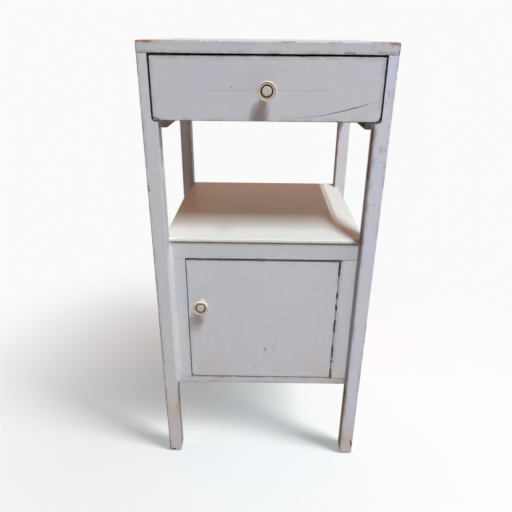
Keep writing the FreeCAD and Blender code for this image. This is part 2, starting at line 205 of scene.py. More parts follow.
def streak(tree, spot, start, end, half_width):
    """A mask that is 1 on the line from start to end and fades out past half_width from it."""
    line = Vector(end) - Vector(start)
    from_start = add(tree, "ShaderNodeVectorMath", spot, Vector(start), operation="SUBTRACT")
    share = line / line.length_squared
    share = add(tree, "ShaderNodeVectorMath", from_start, share, operation="DOT_PRODUCT")
    share = add(tree, "ShaderNodeClamp", share)
    nearest = add(tree, "ShaderNodeVectorMath", line, operation="SCALE")
    tree.links.new(share.outputs[0], nearest.inputs["Scale"])
    off = add(tree, "ShaderNodeVectorMath", from_start, nearest, operation="DISTANCE")
    return add(tree, "ShaderNodeMapRange", off, half_width * 0.5, half_width * 1.3, 1.0, 0.0)


def surfaced(tree, colour, roughness, height=None):
    """Joins a colour, a roughness and a height in metres to a material's surface, and returns it."""
    surface = tree.nodes["Principled BSDF"]
    tree.links.new(colour, surface.inputs["Base Color"])
    tree.links.new(roughness, surface.inputs["Roughness"])
    if height is not None:
        relief = add(tree, "ShaderNodeBump", 1.0, 1.0, None, height)
        tree.links.new(relief.outputs["Normal"], surface.inputs["Normal"])
    return surface


def oil_paint(
    name, low, high, brush, wear, grime=0.6, chips=(), cracks=(), stray=0.005,
    coat=("#cbced5", "#cdced1"), bare=("#94795f", "#5e493a"),
):
    """Brushed oil paint on a board from low to high, in metres.

    Each of its chips and cracks is a line: its start, its end, its half width and its strength.
    Some of them paint shade on shaded faces and in gaps."""
    finish = bpy.data.materials.new("brushed_oil_paint." + name)
    finish.use_nodes = True
    tree = finish.node_tree
    marks = {}
    if chips or cracks:
        # Chips, cracks and strokes of painted shade wander in bends of about 6 mm.
        spot = add(tree, "ShaderNodeTexCoord").outputs["Object"]
        wander = add(tree, "ShaderNodeTexNoise", spot, 1 / 0.006, 3.0, 0.7).outputs["Color"]
        wander = add(tree, "ShaderNodeVectorMath", wander, (0.5, 0.5, 0.5), operation="SUBTRACT")
        wander = add(tree, "ShaderNodeVectorMath", wander, (stray, stray, stray), operation="MULTIPLY")
        spot = add(tree, "ShaderNodeVectorMath", spot, wander, operation="ADD")
    for kind, strokes in (("Chips and shade", chips), ("Cracks and shade", cracks)):
        for start, end, half_width, strength in strokes:
            mask = streak(tree, spot, start, end, half_width)
            mask = add(tree, "ShaderNodeMath", mask, strength, operation="MULTIPLY")
            if kind in marks:
                mask = add(tree, "ShaderNodeMath", mask, marks[kind], operation="MAXIMUM")
            marks[kind] = mask
    coats = add(
        tree, "ShaderNodeGroup", low, high, brush, wear, grime, marks.get("Chips and shade"), marks.get("Cracks and shade"),
        linear(coat[0]), linear(coat[1]), linear(bare[0]), linear(bare[1]), node_tree=paint,
    )
    surface = surfaced(tree, *coats.outputs)
    surface.inputs["IOR"].default_value = 1.48
    surface.inputs["Specular IOR Level"].default_value = 0.25
    return finish


def painted(name, brush, wear, past=(0.0, 0.0, 0.0), **looks):
    """Puts brushed oil paint on a CAD node; past moves its high corner out, to spare the edges there."""
    low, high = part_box(name)
    high = high + Vector(past)
    nodes[name].material_slots[0].material = oil_paint(name, low, high, brush, wear, **looks)


# Places on the legs: their front, inner and outer faces, the rebates that take the drawer front,
# the joint with the top, and the open bay between the cupboard and the drawer.
leg_low, leg_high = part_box("leg_front_right")
front = leg_low.y
inner = leg_low.x
outer = leg_high.x
leg_middle = (leg_low.y + leg_high.y) / 2
rebate = 0.1738
rebate_low, rebate_high = 0.6780, 0.7710
rebate_front = front + 0.0045
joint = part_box("top_board")[0].z
cupboard_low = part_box("frame_bottom_rail")[0].z
bay_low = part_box("shelf_board")[1].z
bay_high = 0.662
# Dark wood colour for bare wood where the paint wears, and for painted shade on the right legs' inner faces.
dirty_wood_and_shade = ("#7c5e46", "#4c3828")
painted(
    "leg_front_left", along_z, 0.0026, past=(0.02, 0.0, 0.0), coat=("#ced1d8", "#d0d1d4"),
    chips=[
        ((-outer, front, 0.574), (-0.187, front, 0.568), 0.0016, 0.9),
        ((-outer, front, 0.030), (-0.189, front, 0.004), 0.0030, 0.7),
    ],
    cracks=[
        # Painted shade down the outer edge, which turns away from the light.
        ((-outer, front, 0.000), (-outer, front, 0.340), 0.0020, 0.50),
        ((-outer, front, 0.340), (-outer, front, 0.772), 0.0014, 0.42),
        ((-0.1815, front, 0.0055), (-0.1805, front, 0.0055), 0.0026, 1.0),
        # Painted shade on the inner face, below the cupboard and under the drawer.
        ((-inner, leg_middle, 0.000), (-inner, leg_middle, 0.120), 0.0120, 0.52),
        ((-inner, leg_middle, 0.120), (-inner, leg_middle, cupboard_low - 0.002), 0.0120, 0.75),
        ((-inner, leg_middle, bay_high), (-inner, leg_middle, 0.640), 0.0120, 0.70),
        ((-inner, leg_middle, 0.640), (-inner, leg_middle, 0.615), 0.0120, 0.35),
        # Painted shade along the foot's lower edge.
        ((-outer, front, 0.000), (-inner, front, 0.000), 0.0030, 0.40),
        ((-outer, front, joint), (-0.174, front, joint), 0.0009, 0.80),
        # Painted shade on the rebate, in the gap beside the drawer front.
        ((-rebate, leg_middle, rebate_high), (-rebate, leg_middle, rebate_low), 0.0105, 0.85),
        ((-rebate, rebate_front, rebate_high), (-rebate, rebate_front, rebate_low), 0.0033, 0.90),
        ((-0.169, front, 0.124), (-0.168, front, 0.112), 0.0014, 0.45),
    ],
)
painted(
    "leg_front_right", along_z, 0.0022, coat=("#ccd3e4", "#d1d4dd"), bare=dirty_wood_and_shade,
    chips=[
        # Painted shade on the inner face, which faces away from the light, in the colour of dirty bare wood.
        ((inner, leg_middle, 0.000), (inner, leg_middle, cupboard_low - 0.002), 0.0120, 1.0),
        ((inner, leg_middle, cupboard_low), (inner, leg_middle, bay_low + 0.002), 0.0120, 0.62),
        ((inner, leg_middle, bay_low + 0.002), (inner, leg_middle, 0.590), 0.0120, 0.84),
        ((inner, leg_middle, 0.590), (inner, leg_middle, bay_high), 0.0120, 1.0),
        ((0.1850, front, 0.036), (0.1895, front, 0.020), 0.0020, 1.0),
    ],
    cracks=[
        ((0.1862, front, 0.034), (0.1895, front, 0.022), 0.0016, 0.70),
        ((0.1780, front, 0.640), (0.1800, front, 0.634), 0.0040, 0.20),
        ((0.1800, front, 0.724), (0.1815, front, 0.716), 0.0016, 0.26),
        ((0.1790, front, 0.708), (0.1795, front, 0.704), 0.0012, 0.22),
        ((0.1775, front, 0.641), (0.1785, front, 0.632), 0.0010, 0.30),
        ((0.1840, front, 0.640), (0.1860, front, 0.634), 0.0020, 0.18),
        ((0.1765, front, 0.617), (0.1830, front, 0.618), 0.0014, 0.14),
        ((0.1760, front, 0.548), (0.1790, front, 0.548), 0.0007, 0.60),
        # Painted shade along the foot's lower edge.
        ((inner, front, 0.000), (outer, front, 0.000), 0.0036, 0.50),
        ((0.174, front, joint), (outer, front, joint), 0.0008, 0.75),
        # Painted shade in the gap under the drawer front's end and on the rebate beside it.
        ((inner, front, 0.6770), (0.1725, front, 0.6784), 0.0009, 1.0),
        ((rebate, leg_middle, rebate_high), (rebate, leg_middle, rebate_low), 0.0105, 0.92),
        ((rebate, rebate_front, rebate_high), (rebate, rebate_front, rebate_low), 0.0033, 1.0),
    ],
)
painted(
    "leg_rear_left", along_z, 0.0012,
    # Painted shade on the inner face, under the drawer.
    cracks=[((-inner, 0.1870, bay_low), (-inner, 0.1870, bay_high), 0.0150, 0.55)],
)
painted(
    # Its paint is set lighter than the other legs' as painted light, for light the drawer keeps off it; the
    # chips paint shade on its inner face in the colour of dirty bare wood.
    "leg_rear_right", along_z, 0.0004, grime=0.15, coat=("#d6d9e0", "#dbdada"), bare=dirty_wood_and_shade,
    chips=[
        ((inner, 0.1775, bay_low), (inner, 0.1775, bay_high), 0.0046, 0.95),
        ((inner, 0.1910, bay_low), (inner, 0.1910, bay_high), 0.0110, 0.95),
    ],
)


def placed(name, data):
    """A mesh, lamp or camera as an object in the scene, at the origin."""
    thing = bpy.data.objects.new(name, data)
    bpy.context.scene.collection.objects.link(thing)
    return thing


def modelled(name, shape, finish):
    """A piece from a modelled shape, with its finish."""
    mesh = bpy.data.meshes.new(name)
    shape.to_mesh(mesh)
    shape.free()
    mesh.materials.append(finish)
    return placed(name, mesh)


foot_radius = 0.005
foot_steps = 5
weld = 0.000001
hair = 0.00001


def rounded_foot(name):
    """A copy of the leg with the edges of its foot rounded over, in the leg's place."""
    low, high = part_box(name)
    middle = (low + high) / 2
    half = (high - low) / 2
    shape = bmesh.new()
    shape.from_mesh(nodes[name].data)
    bmesh.ops.remove_doubles(shape, verts=shape.verts, dist=weld)
    for i in range(1, foot_steps + 1):
        cut = foot_radius * (1 - cos(pi / 2 * i / foot_steps))
        everything = shape.verts[:] + shape.edges[:] + shape.faces[:]
        bmesh.ops.bisect_plane(shape, geom=everything, plane_co=(0.0, 0.0, cut), plane_no=(0.0, 0.0, 1.0))
    for vert in shape.verts:
        drop = min(1.0, max(0.0, 1 - vert.co.z / foot_radius))
        drawn_in = foot_radius * (1 - sqrt(1 - drop ** 2))
        vert.co.x = middle.x + (vert.co.x - middle.x) * (1 - drawn_in / half.x)
        vert.co.y = middle.y + (vert.co.y - middle.y) * (1 - drawn_in / half.y)
    for face in shape.faces:
        highest = max(vert.co.z for vert in face.verts)
        face.smooth = hair < highest < foot_radius + hair
    leg = modelled("rounded_" + name, shape, nodes[name].material_slots[0].material)
    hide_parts(name)
    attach(leg, "carcass")
    return leg


legs = {}
for name in ("leg_rear_left", "leg_rear_right", "leg_front_left", "leg_front_right"):
    legs[name] = rounded_foot(name)


# Side and back aprons: thin planed boards of softwood under the top, tenoned into the legs. They
# were painted together with them.
painted("side_apron_left", along_y, 0.0012)
painted("side_apron_right", along_y, 0.0012)
painted("back_apron", along_x, 0.0012)


# The top: one softwood board with a softened upper edge, lying on the legs' stub tenons. Its paint
# has gone from the front corners and from places along the edges.
top_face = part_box("top_board")[1].z
top_edge = top_face - 0.001
painted(
    # Its paint is set darker than the rest as painted shade, for the strong light on its upper face.
    "top_board", along_x, 0.0016, coat=("#c2c6cd", "#c8c8c8"), bare=("#b48a63", "#74523a"),
    chips=[
        ((-outer, front, top_edge), (-0.168, front, top_edge), 0.0024, 1.0),
        ((-0.168, front, top_face), (-0.098, front, top_face), 0.0014, 0.8),
        ((0.150, front, top_face), (0.178, front, top_edge), 0.0013, 0.8),
        ((0.176, front, top_edge), (outer, front, top_edge - 0.002), 0.0026, 0.9),
        ((-0.185, -0.170, top_face), (-0.184, -0.110, top_face), 0.0060, 0.9),
        ((-0.185, -0.100, top_face), (-0.186, -0.040, top_face), 0.0032, 0.8),
        ((-0.178, -0.171, top_face), (-0.160, -0.173, top_face), 0.0055, 0.8),
        ((0.185, -0.171, top_face), (0.186, -0.090, top_face), 0.0040, 0.8),
    ],
    cracks=[
        ((outer, front, 0.774), (outer, front, 0.786), 0.0014, 0.40),
        ((-outer, front, 0.774), (-outer, front, 0.786), 0.0014, 0.35),
        ((-0.188, front, 0.775), (-0.160, front, 0.775), 0.0014, 0.22),
        ((0.160, front, 0.776), (0.188, front, 0.775), 0.0020, 0.22),
        ((0.021, front, top_edge), (0.040, front, top_edge), 0.0010, 0.55),
        ((0.092, front, top_edge), (0.093, front, top_edge), 0.0010, 0.45),
        ((0.102, front, top_edge), (0.104, front, top_edge), 0.0012, 0.55),
        ((0.112, front, 0.7746), (0.126, front, 0.7746), 0.0016, 0.50),
        ((0.151, front, 0.784), (0.151, front, 0.779), 0.0016, 0.16),
        ((0.178, front, 0.787), (0.178, front, 0.782), 0.0008, 0.45),
    ],
)


# Drawer runners: rectangular bars with chamfered ends, screwed to the side aprons and painted where
# they show; the guides on them are bare pine strips that keep the drawer straight.
# Their paint is set dark grey as painted shade, for the drawer's shadow they lie in.
painted(
    "drawer_runner_left", along_y, 0.0030, coat=("#a09896", "#96897b"), bare=("#7d6248", "#4a3524"),
)
runner_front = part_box("drawer_runner_right")[0].y
painted(
    "drawer_runner_right", along_y, 0.0030, coat=("#a3a2ab", "#9a989f"), bare=("#5f4836", "#3a2a1e"),
    chips=[((0.138, runner_front, 0.680), (0.150, runner_front, 0.671), 0.0080, 0.9)],
)


# Old planed pine: warm and matt, with growth rings about 6 mm apart drawn out along the board, fibres
# about 1 mm wide and 55 mm long, and a film of dust. The wave's bands lie 0.314 / scale apart.
def pine(along):
    """Old planed pine with its grain along one axis: 0, 1 or 2."""
    finish = bpy.data.materials.new("old_pine_along_" + "xyz"[along])
    finish.use_nodes = True
    tree = finish.node_tree
    spot = add(tree, "ShaderNodeTexCoord").outputs["Object"]
    drawn_out = [1.0, 1.0, 1.0]
    drawn_out[along] = 0.06
    rings_at = add(tree, "ShaderNodeVectorMath", spot, drawn_out, operation="MULTIPLY")
    bend = add(tree, "ShaderNodeTexNoise", rings_at, 1 / 0.04, 2.0).outputs["Color"]
    bend = add(tree, "ShaderNodeVectorMath", bend, (0.03, 0.03, 0.03), operation="MULTIPLY")
    rings_at = add(tree, "ShaderNodeVectorMath", rings_at, bend, operation="ADD")
    rings = add(
        tree, "ShaderNodeTexWave", rings_at, 0.314 / 0.006, 1.5, 2.0,
        wave_type="BANDS", bands_direction="DIAGONAL", wave_profile="SAW",
    ).outputs["Fac"]
    spread = [900.0, 900.0, 900.0]
    spread[along] = 18.0
    fibres_at = add(tree, "ShaderNodeVectorMath", spot, spread, operation="MULTIPLY")
    fibres = add(tree, "ShaderNodeTexNoise", fibres_at, 1.0, 3.0, 0.65)
    wood = add(tree, "ShaderNodeMix", rings, linear("#b9935f"), linear("#94683f"), data_type="RGBA")
    fine = add(tree, "ShaderNodeMapRange", fibres, 0.40, 0.75, 0.0, 0.5)
    wood = add(tree, "ShaderNodeMix", fine, wood, linear("#6d4a2c"), data_type="RGBA")
    dust = add(tree, "ShaderNodeTexNoise", spot, 1 / 0.05, 3.0)
    dust = add(tree, "ShaderNodeMapRange", dust, 0.40, 0.70, 0.0, 0.45)
    wood = add(tree, "ShaderNodeMix", dust, wood, linear("#8d7a62"), data_type="RGBA")
    relief = add(tree, "ShaderNodeMath", fibres, 0.00008, operation="MULTIPLY")
    dull = add(tree, "ShaderNodeMapRange", fibres, 0.3, 0.7, 0.62, 0.82)
    surfaced(tree, wood.outputs[2], dull.outputs[0], relief)
    return finish


pine_along_x = pine(0)
pine_along_y = pine(1)
for name in ("drawer_guide_left", "drawer_guide_right"):
    nodes[name].material_slots[0].material = pine_along_y


# The shelf: a thin board notched round the legs, with a rounded nose over the cupboard's top rail.
# Painted and wiped often, it is smoother than the rest. Its paint is set whiter as painted light,
# for its brightly lit upper face.
painted("shelf_board", along_x, 0.0002, grime=0.05, coat=("#e1e4e1", "#e4e3db"))


# The cupboard's carcass: plywood sides, floor and back, painted inside and out. The sides are tongued
# into the legs, and the back is nailed on.
painted("cupboard_side_left", along_z, 0.0010)
painted("cupboard_side_right", along_z, 0.0010)
painted("cupboard_floor", along_x, 0.0010)
painted("cupboard_back", along_z, 0.0010)


# The face frame: two rails and two stiles set back between the front legs, glued and painted over.
# The paint has cracked open along the joints between rails and stiles.
rail_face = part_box("frame_top_rail")[0].y
under_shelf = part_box("frame_top_rail")[1].z - 0.0005
top_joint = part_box("frame_top_rail")[0].z
bottom_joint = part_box("frame_bottom_rail")[1].z
painted(
    "frame_top_rail", along_x, 0.0006, grime=0.3, stray=0.0015,
    cracks=[
        # Painted shadow under the shelf's nose.
        ((-0.160, rail_face, under_shelf), (inner, rail_face, under_shelf), 0.0020, 0.75),
        ((0.142, rail_face, top_joint), (inner, rail_face, top_joint), 0.0005, 0.45),
        ((-inner, rail_face, top_joint), (-0.150, rail_face, top_joint), 0.0004, 0.20),
        # Painted shade in the gap over the door.
        ((-0.1395, rail_face, top_joint), (0.136, rail_face, top_joint), 0.0009, 1.0),
    ],
)
painted(
    "frame_bottom_rail", along_x, 0.0010,
    cracks=[
        ((-inner, rail_face, bottom_joint), (-0.140, rail_face, bottom_joint), 0.0004, 0.30),
        ((0.141, rail_face, bottom_joint), (inner, rail_face, bottom_joint), 0.0006, 0.55),
        # Painted shade in the gap under the door.
        ((-0.138, rail_face, bottom_joint - 0.0004), (0.010, rail_face, bottom_joint - 0.0002), 0.0008, 0.60),
    ],
)
painted("frame_stile_left", along_z, 0.0002, grime=0.1)
# Its paint is set lighter than the left stile's as painted light, against the right leg's shadow on it.
painted("frame_stile_right", along_z, 0.0003, grime=0.15, coat=("#d6d8de", "#dad9d8"))


# Filler in the corner between the left leg and the stile, worked in by thumb to hide the joint:
# hollow, uneven, and whiter than the paint beside it.
filler_low = cupboard_low + 0.0005
filler_high = under_shelf
up_leg = front + 0.0020
along_stile = -inner + 0.0042
bedded = 0.0005
hollowness = 0.55
lump = 0.0012
lumps_per_metre = 55
filler_steps = 72
tapered_steps = 6
curve_steps = 8
crease = radians(40)
corner = Vector((-inner, rail_face, 0.0))
sections = []
strip = bmesh.new()
for i in range(filler_steps + 1):
    z = filler_low + (filler_high - filler_low) * i / filler_steps
    leg_lump = lump * noise.noise(Vector((0.0, 0.0, z * lumps_per_metre)))
    stile_lump = lump * noise.noise(Vector((7.0, 0.0, z * lumps_per_metre)))
    fullness = min(1.0, (i + 0.5) / tapered_steps, (filler_steps + 0.5 - i) / tapered_steps)
    on_leg = corner.lerp(Vector((-inner, up_leg + leg_lump, 0.0)), fullness)
    on_stile = corner.lerp(Vector((along_stile + stile_lump, rail_face, 0.0)), fullness)
    hollow = corner.lerp((on_leg + on_stile) / 2, hollowness)
    outline = [corner + Vector((-bedded, bedded, 0.0)), on_leg + Vector((-bedded, 0.0, 0.0))]
    for j in range(curve_steps + 1):
        t = j / curve_steps
        outline.append(on_leg * (1 - t) ** 2 + hollow * 2 * t * (1 - t) + on_stile * t ** 2)
    outline.append(on_stile + Vector((0.0, bedded, 0.0)))
    sections.append([strip.verts.new((point.x, point.y, z)) for point in outline])
for lower, upper in zip(sections, sections[1:]):
    for j in range(len(lower)):
        k = (j + 1) % len(lower)
        strip.faces.new((lower[j], lower[k], upper[k], upper[j]))
strip.faces.new(sections[0])
strip.faces.new(sections[-1])
bmesh.ops.recalc_face_normals(strip, faces=strip.faces)
for face in strip.faces:
    face.smooth = len(face.verts) == 4

# Its paint has no board's edges near it, so none of it is worn through.
clear_of_edges = Vector((0.02, 0.02, 0.02))
whiter_paint = oil_paint(
    "corner_filler",
    Vector((-inner - bedded, up_leg, filler_low)) - clear_of_edges,
    Vector((along_stile + 0.0020, rail_face + bedded, filler_high)) + clear_of_edges,
    along_z, 0.0, coat=("#e2e4e9", "#e7e7e7"),
    cracks=[
        ((-0.1655, -0.172, 0.441), (-0.1640, -0.165, 0.432), 0.0008, 0.35),
        ((-0.1655, -0.174, 0.283), (-0.1650, -0.170, 0.276), 0.0009, 0.45),
        ((-0.1655, -0.174, 0.240), (-0.1650, -0.170, 0.236), 0.0010, 0.50),
        ((-0.1655, -0.174, 0.200), (-0.1650, -0.170, 0.196), 0.0010, 0.45),
    ],
)
filler = modelled("corner_filler", strip, whiter_paint)
filler.data.set_sharp_from_angle(angle=crease)
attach(filler, "carcass")


# The drawer front: a thick board with rounded lower corners that fits into the legs' rebates.
# The paint has split in a long curved hairline at the lower right, and faintly across the middle.
drawer_end = 0.1722
drawer_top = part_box("drawer_front")[1].z
split_path = [
    (0.020, 0.6836), (0.044, 0.6838), (0.064, 0.6850), (0.084, 0.6878), (0.102, 0.6915),
    (0.118, 0.6954), (0.135, 0.7000), (0.150, 0.7043), (0.166, 0.7085),
]
split_weight = [0.12, 0.25, 0.40, 0.55, 0.75, 0.90, 0.70, 0.25]
split = [
    ((x0, front, z0), (x1, front, z1), 0.0007, weight)
    for (x0, z0), (x1, z1), weight in zip(split_path, split_path[1:], split_weight)
]
painted(
    "drawer_front", along_x, 0.0014, stray=0.0015, coat=("#c8cbd3", "#cbcccf"),
    chips=[
        ((-0.171, front, 0.682), (-0.163, front, 0.679), 0.0020, 0.9),
        ((0.045, front, drawer_top), (0.058, front, drawer_top), 0.0010, 0.8),
    ],
    cracks=split + [
        ((-0.086, front, 0.7218), (-0.020, front, 0.7228), 0.0006, 0.22),
        ((0.016, front, 0.7235), (0.095, front, 0.7240), 0.0006, 0.22),
        ((-0.054, front, 0.7275), (-0.053, front, 0.7275), 0.0009, 0.6),
        # Painted shade: the gaps round the drawer front and at its lower right corner are darkened, and its
        # top edge is darkened where it would catch the light.
        ((-0.172, front, drawer_top), (0.060, front, drawer_top), 0.0011, 0.75),
        ((0.060, front, drawer_top + 0.0002), (0.172, front, drawer_top + 0.0002), 0.0008, 0.60),
        ((-inner, front, 0.6782), (inner, front, 0.6782), 0.0007, 0.40),
        ((0.104, front, 0.6780), (inner, front, 0.6780), 0.0012, 1.0),
        ((-drawer_end, front, drawer_top), (-drawer_end, front, 0.6840), 0.0007, 0.75),
        ((drawer_end, front, drawer_top), (drawer_end, front, 0.6840), 0.0006, 0.80),
        ((drawer_end, front, 0.6850), (0.1702, front, 0.6804), 0.0011, 1.0),
        ((0.1702, front, 0.6804), (0.1650, front, 0.6781), 0.0011, 1.0),
    ],
)


# The drawer box: bare pine sides and back with a thin bottom. The sides are let into the front and
# nailed to the back.
for name in ("drawer_side_left", "drawer_side_right"):
    nodes[name].material_slots[0].material = pine_along_y
for name in ("drawer_back", "drawer_bottom"):
    nodes[name].material_slots[0].material = pine_along_x


# Two turned knobs: a cream moulded body with a narrow neck, a dished face, and in its recess a dark
# disc with a pale button on it. Each is held by one screw from behind.

def smooth(points, steps):
    """Points on the Catmull-Rom curve through the given points."""
    ends = [points[0]] + points + [points[-1]]
    line = []
    for four in zip(ends, ends[1:], ends[2:], ends[3:]):
        for i in range(steps):
            t = i / steps
            pulls = (
                -t + 2 * t ** 2 - t ** 3,
                2 - 5 * t ** 2 + 3 * t ** 3,
                t + 4 * t ** 2 - 3 * t ** 3,
                -t ** 2 + t ** 3,
            )
            line.append(tuple(sum(w * v for w, v in zip(pulls, values)) / 2 for values in zip(*four)))
    return line + [points[-1]]


def turned(name, profile, foot, finish):
    """A turned piece from (reach, radius) in millimetres, that stands on its foot and points to -Y."""
    sides = 72
    shape = bmesh.new()
    rings = []
    for reach_out, radius in profile:
        turns = sides if radius > 0 else 1
        rings.append([
            shape.verts.new((
                foot.x + radius / 1000 * cos(2 * pi * i / sides),
                foot.y - reach_out / 1000,
                foot.z + radius / 1000 * sin(2 * pi * i / sides),
            ))
            for i in range(turns)
        ])
    for first, second in zip(rings, rings[1:]):
        for i in range(sides):
            j = (i + 1) % sides
            corners = [ring[k % len(ring)] for ring, k in ((first, i), (first, j), (second, j), (second, i))]
            shape.faces.new(list(dict.fromkeys(corners)))
    bmesh.ops.recalc_face_normals(shape, faces=shape.faces)
    for face in shape.faces:
        face.smooth = True
    piece = modelled(name, shape, finish)
    piece.data.set_sharp_from_angle(angle=crease)
    return piece


# Old moulded thermoset: an even gloss, ageing in clouds of about 8 mm, a handled face inside the rim,
# and dirt in the two grooves, at the rim and round the recess. The darker face and the rim's groove
# also hold painted shade from the rim.
def moulded(name, foot, pale, aged, handled_and_shaded_face, grime, roughness):
    """Old moulded thermoset, centred on the axis of the knob that stands on the foot."""
    finish = bpy.data.materials.new(name)
    finish.use_nodes = True
    tree = finish.node_tree
    spot = add(tree, "ShaderNodeTexCoord").outputs["Object"]
    clouds = add(tree, "ShaderNodeTexNoise", spot, 1 / 0.008, 3.0)
    body = add(tree, "ShaderNodeMapRange", clouds, 0.35, 0.65, 0.0, 1.0)
    body = add(tree, "ShaderNodeMix", body, linear(pale), linear(aged), data_type="RGBA")
    flat = add(tree, "ShaderNodeVectorMath", spot, (foot.x, 0.0, foot.z), operation="SUBTRACT")
    flat = add(tree, "ShaderNodeVectorMath", flat, (1.0, 0.0, 1.0), operation="MULTIPLY")
    radius = add(tree, "ShaderNodeVectorMath", flat, operation="LENGTH").outputs["Value"]
    patchy = add(tree, "ShaderNodeTexNoise", spot, 1 / 0.003, 3.0)
    patchy = add(tree, "ShaderNodeMapRange", patchy, 0.3, 0.6, 0.4, 1.0)
    # The face inside the rim is darker: handling, and painted shade from the rim.
    handled_and_shaded = add(tree, "ShaderNodeMapRange", radius, 0.0127, 0.0121, 0.0, 0.8)
    handled_and_shaded = add(tree, "ShaderNodeMath", handled_and_shaded, patchy, operation="MULTIPLY")
    body = add(tree, "ShaderNodeMix", handled_and_shaded, body, linear(handled_and_shaded_face), data_type="RGBA")
    # Dark grooves: dirt, and at the rim painted shade too.
    for groove_radius, groove_width in ((0.0093, 0.0009), (0.0126, 0.0007)):
        groove = add(tree, "ShaderNodeMath", radius, groove_radius, operation="SUBTRACT")
        groove = add(tree, "ShaderNodeMath", groove, operation="ABSOLUTE")
        dirt_and_shade = add(tree, "ShaderNodeMapRange", groove, 0.0, groove_width, 0.9, 0.0)
        dirt_and_shade = add(tree, "ShaderNodeMath", dirt_and_shade, patchy, operation="MULTIPLY")
        body = add(tree, "ShaderNodeMix", dirt_and_shade, body, linear(grime), data_type="RGBA")
    dull = add(tree, "ShaderNodeMapRange", patchy, 0.4, 1.0, roughness, roughness + 0.16)
    relief = add(tree, "ShaderNodeMath", clouds, 0.00006, operation="MULTIPLY")
    surface = surfaced(tree, body.outputs[2], dull.outputs[0], relief)
    surface.inputs["IOR"].default_value = 1.55
    return finish


neck = smooth([
    (0.0, 7.4), (0.9, 7.7), (2.2, 6.8), (5.0, 6.0), (10.0, 5.9), (14.0, 6.6), (16.6, 9.4),
    (18.2, 12.4), (19.6, 14.0), (21.0, 14.4), (22.2, 14.2),
], 5)
rim = smooth([(22.2, 14.2), (23.3, 13.8), (23.9, 13.3), (23.8, 12.9), (23.2, 12.6)], 4)
dish = smooth([(23.2, 12.6), (22.7, 12.2), (22.6, 11.2), (22.8, 10.0), (22.7, 9.4)], 4)
recess = [(22.3, 9.15), (20.2, 9.05), (20.0, 8.9), (20.0, 0.0)]
body_profile = [(0.0, 0.0)] + neck + rim[1:] + dish[1:] + recess
disc_profile = [(20.0, 0.0), (20.0, 8.9), (20.5, 8.9), (20.8, 8.6), (20.9, 8.1), (20.9, 0.0)]
button_profile = [
    (20.9, 0.0), (20.9, 6.9), (21.5, 7.2), (22.4, 7.2), (23.0, 6.9), (23.35, 6.1), (23.5, 4.2), (23.55, 0.0),
]
knob_foot = {}
for knob, body in (("drawer_knob", "drawer"), ("door_knob", "door")):
    low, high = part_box(knob)
    foot = Vector(((low.x + high.x) / 2, high.y, (low.z + high.z) / 2))
    knob_foot[knob] = foot
    cream = moulded("cream_thermoset." + knob, foot, "#efe5d3", "#e0d4bf", "#b9aa90", "#54432f", 0.28)
    black = moulded("black_thermoset." + knob, foot, "#241810", "#1a110b", "#1d130c", "#2a1c12", 0.50)
    black.node_tree.nodes["Principled BSDF"].inputs["Specular IOR Level"].default_value = 0.12
    ivory = moulded("ivory_thermoset." + knob, foot, "#cdc6bd", "#b9b0a5", "#c2bab0", "#80705e", 0.34)
    for part, profile, finish, slot in (
        (knob, body_profile, cream, "knob_body"),
        (knob + "_disc", disc_profile, black, "knob_disc"),
        (knob + "_button", button_profile, ivory, "knob_button"),
    ):
        piece = turned("turned_" + part, profile, foot, finish)
        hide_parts(part)
        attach(piece, body)


# The door: a flat inset board with softened edges, brushed upwards and down. It has a rubbed spot,
# a few scratches and a knocked lower corner, and its paint is torn along the hinge.
torn = [
    (0.4330, 0.4025), (0.3685, 0.3576), (0.3433, 0.3333), (0.3101, 0.2840),
    (0.2517, 0.2263), (0.2180, 0.2140), (0.1974, 0.1757),
]
torn_edge = [((0.1354, rail_face, upper), (0.1352, rail_face, lower), 0.0010, 1.0) for upper, lower in torn]
painted(
    "door_panel", along_z, 0.0008, grime=0.35, stray=0.0015, coat=("#cfd2da", "#d1d2d6"),
    cracks=[
        ((0.0050, rail_face, 0.2440), (0.0056, rail_face, 0.2385), 0.0022, 0.42),
        ((0.0228, rail_face, 0.2530), (0.0212, rail_face, 0.2330), 0.0009, 0.26),
        ((0.0270, rail_face, 0.2700), (0.0262, rail_face, 0.2200), 0.0006, 0.14),
        ((0.0340, rail_face, 0.2805), (0.0352, rail_face, 0.2812), 0.0012, 0.24),
        ((0.0440, rail_face, 0.2842), (0.0480, rail_face, 0.2850), 0.0010, 0.24),
        ((0.0680, rail_face, 0.2885), (0.0692, rail_face, 0.2885), 0.0012, 0.28),
        ((-0.0150, rail_face, 0.2050), (-0.0140, rail_face, 0.2000), 0.0014, 0.26),
        # Painted shade over the lit top edge, in the gap under the rail.
        ((-0.1390, rail_face, 0.4312), (0.1360, rail_face, 0.4312), 0.0012, 1.0),
        ((-0.1393, rail_face, 0.1790), (-0.1362, rail_face, 0.1759), 0.0012, 0.80),
    ] + torn_edge,
)


